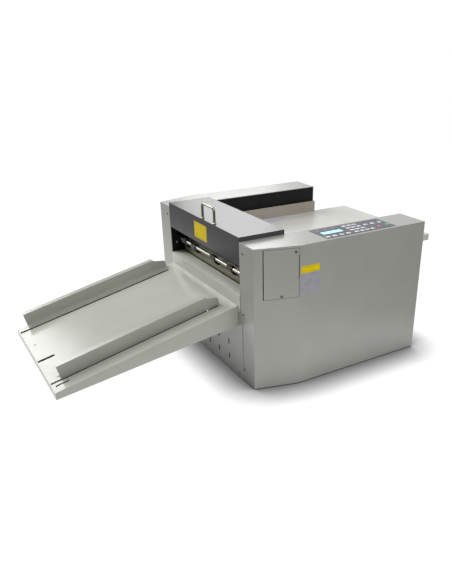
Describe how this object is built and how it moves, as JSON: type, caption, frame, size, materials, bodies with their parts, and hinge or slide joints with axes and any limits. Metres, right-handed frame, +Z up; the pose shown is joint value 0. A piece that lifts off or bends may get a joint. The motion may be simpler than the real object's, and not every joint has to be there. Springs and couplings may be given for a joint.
{
  "type": "creasing and perforating machine",
  "caption": "Desktop machine that feeds, creases and perforates paper and card, with a feed table, hinged cover, control panel and sloping delivery tray.",
  "frame": {"origin": "centre of the overall bounding box in X and Y, on the plane that the feet rest on", "axes": "+X towards the feed end, -X towards the delivery tray, +Y towards the housing without the control panel, +Z up"},
  "size_m": [1.1842, 0.6482, 0.4575],
  "materials": {
    "housing_paint": "fine-texture grey powder coat",
    "guide_paint": "smooth grey paint",
    "cover_paint": "dark grey semi-gloss paint",
    "table_paint": "light grey powder coat",
    "frame_black": "matt black paint",
    "chute_paint": "olive-grey paint",
    "zinc_steel": "zinc-plated sheet",
    "machined_steel": "ground steel",
    "bush_brass": "sintered bronze",
    "bright_chrome": "polished chrome",
    "screw_steel": "plated screws",
    "holder_metal": "grey anodised",
    "black_rubber": "black rubber",
    "black_plastic": "black moulded plastic",
    "motor_black": "black motor can",
    "supply_case": "folded aluminium case",
    "board_green": "circuit board",
    "panel_foil": "printed foil",
    "key_white": "embossed foil keys",
    "key_red": "embossed foil key",
    "key_green": "embossed foil key",
    "display_blue": "backlit display window",
    "label_yellow": "printed film label",
    "label_grey": "printed film label"
  },
  "bodies": {
    "machine": {"base_plate": "zinc_steel", "rubber_feet": "black_rubber", "near_side_frame": "frame_black", "far_side_frame": "frame_black", "near_housing": "housing_paint", "far_housing": "housing_paint", "end_panel": "housing_paint", "delivery_shelf": "housing_paint", "rear_panel": "housing_paint", "panel_screws": "screw_steel", "hinge_pins": "machined_steel", "side_label": "label_yellow", "control_overlay": "panel_foil", "display_window": "display_blue", "control_board": "board_green", "keypad_keys": "key_white", "stop_key": "key_red", "start_key": "key_green", "feed_table": "table_paint", "table_rails": "zinc_steel", "table_label": "label_grey", "feed_guard": "table_paint", "drive_motor": "motor_black", "shaft_bushes": "bush_brass", "crease_anvil": "machined_steel", "crease_guide_pins": "machined_steel", "crease_motor": "motor_black", "delivery_chute": "chute_paint", "finger_shaft": "bright_chrome", "finger_holders": "holder_metal", "guide_fingers": "black_plastic", "delivery_tray": "housing_paint", "tray_bottom": "frame_black", "power_supply": "supply_case", "power_inlet": "black_plastic"},
    "cover": {"top_cover": "cover_paint", "cover_handle": "bright_chrome", "cover_label": "label_yellow"},
    "door": {"service_door": "housing_paint", "door_screws": "screw_steel"},
    "extension": {"table_extension": "table_paint"},
    "fence": {"feed_fence": "guide_paint"},
    "near_guide": {"near_tray_guide": "guide_paint"},
    "far_guide": {"far_tray_guide": "guide_paint"},
    "feed_roll": {"feed_shaft": "machined_steel", "feed_rollers": "black_rubber", "feed_gear": "machined_steel"},
    "feed_pressure_roll": {"feed_pressure_shaft": "machined_steel", "feed_pressure_wheels": "black_plastic"},
    "exit_roll": {"exit_shaft": "machined_steel", "exit_rollers": "black_rubber", "exit_gear": "machined_steel"},
    "perforating_roll": {"perforating_shaft": "machined_steel", "exit_pressure_wheels": "black_plastic", "perforating_wheels": "machined_steel"},
    "idler": {"idler_gear": "machined_steel"},
    "pinion": {"drive_pinion": "machined_steel"},
    "crease_unit": {"crease_beam": "machined_steel", "crease_yokes": "machined_steel", "crease_blade": "machined_steel"},
    "cam": {"cam_shaft": "machined_steel"},
    "switch": {"power_switch": "black_plastic"}
  },
  "joints": [
    {"name": "cover_hinge", "type": "hinge", "parent": "machine", "child": "cover", "pos_m": [0.0321, 0.00015, 0.389], "axis": [0, 1, 0], "range_deg": [0, 85]},
    {"name": "door_hinge", "type": "hinge", "parent": "machine", "child": "door", "pos_m": [-0.06551, -0.29337, 0.32675], "axis": [0, 0, -1], "range_deg": [0, 90]},
    {"name": "extension_hinge", "type": "hinge", "parent": "machine", "child": "extension", "pos_m": [0.4587, 0.00015, 0.3035], "axis": [0, 1, 0], "range_deg": [0, 80]},
    {"name": "fence_slide", "type": "slide", "parent": "machine", "child": "fence", "axis": [0, 1, 0], "range_m": [-0.3, 0]},
    {"name": "near_guide_slide", "type": "slide", "parent": "machine", "child": "near_guide", "axis": [0, 1, 0], "range_m": [0, 0.13]},
    {"name": "far_guide_slide", "type": "slide", "parent": "machine", "child": "far_guide", "axis": [0, 1, 0], "range_m": [-0.13, 0]},
    {"name": "feed_spin", "type": "hinge", "parent": "machine", "child": "feed_roll", "pos_m": [0.0351, 0.00015, 0.3045], "axis": [0, 1, 0], "continuous": true},
    {"name": "feed_pressure_spin", "type": "hinge", "parent": "machine", "child": "feed_pressure_roll", "pos_m": [0.0351, 0.00015, 0.324], "axis": [0, 1, 0], "continuous": true},
    {"name": "exit_spin", "type": "hinge", "parent": "machine", "child": "exit_roll", "pos_m": [-0.0019, 0.00015, 0.302], "axis": [0, 1, 0], "continuous": true},
    {"name": "perforating_spin", "type": "hinge", "parent": "machine", "child": "perforating_roll", "pos_m": [-0.0019, 0.00015, 0.3235], "axis": [0, 1, 0], "continuous": true},
    {"name": "idler_spin", "type": "hinge", "parent": "machine", "child": "idler", "pos_m": [0.01763, 0.00015, 0.28805], "axis": [0, 1, 0], "continuous": true},
    {"name": "pinion_spin", "type": "hinge", "parent": "machine", "child": "pinion", "pos_m": [0.01763, 0.00015, 0.26705], "axis": [0, 1, 0], "continuous": true},
    {"name": "crease_slide", "type": "slide", "parent": "machine", "child": "crease_unit", "axis": [0, 0, 1], "range_m": [-0.0055, 0]},
    {"name": "cam_spin", "type": "hinge", "parent": "machine", "child": "cam", "pos_m": [0.0171, 0.00015, 0.362], "axis": [0, 1, 0], "continuous": true},
    {"name": "switch_rock", "type": "hinge", "parent": "machine", "child": "switch", "pos_m": [0.44955, -0.09485, 0.062], "axis": [0, 1, 0], "range_deg": [0, 12]}
  ],
  "couplings": [
    {"joint": "idler_spin", "follows": "feed_spin", "ratio": -1},
    {"joint": "exit_spin", "follows": "feed_spin", "ratio": 1},
    {"joint": "pinion_spin", "follows": "feed_spin", "ratio": 1.3333},
    {"joint": "feed_pressure_spin", "follows": "feed_spin", "ratio": -1},
    {"joint": "perforating_spin", "follows": "feed_spin", "ratio": -0.90909}
  ]
}
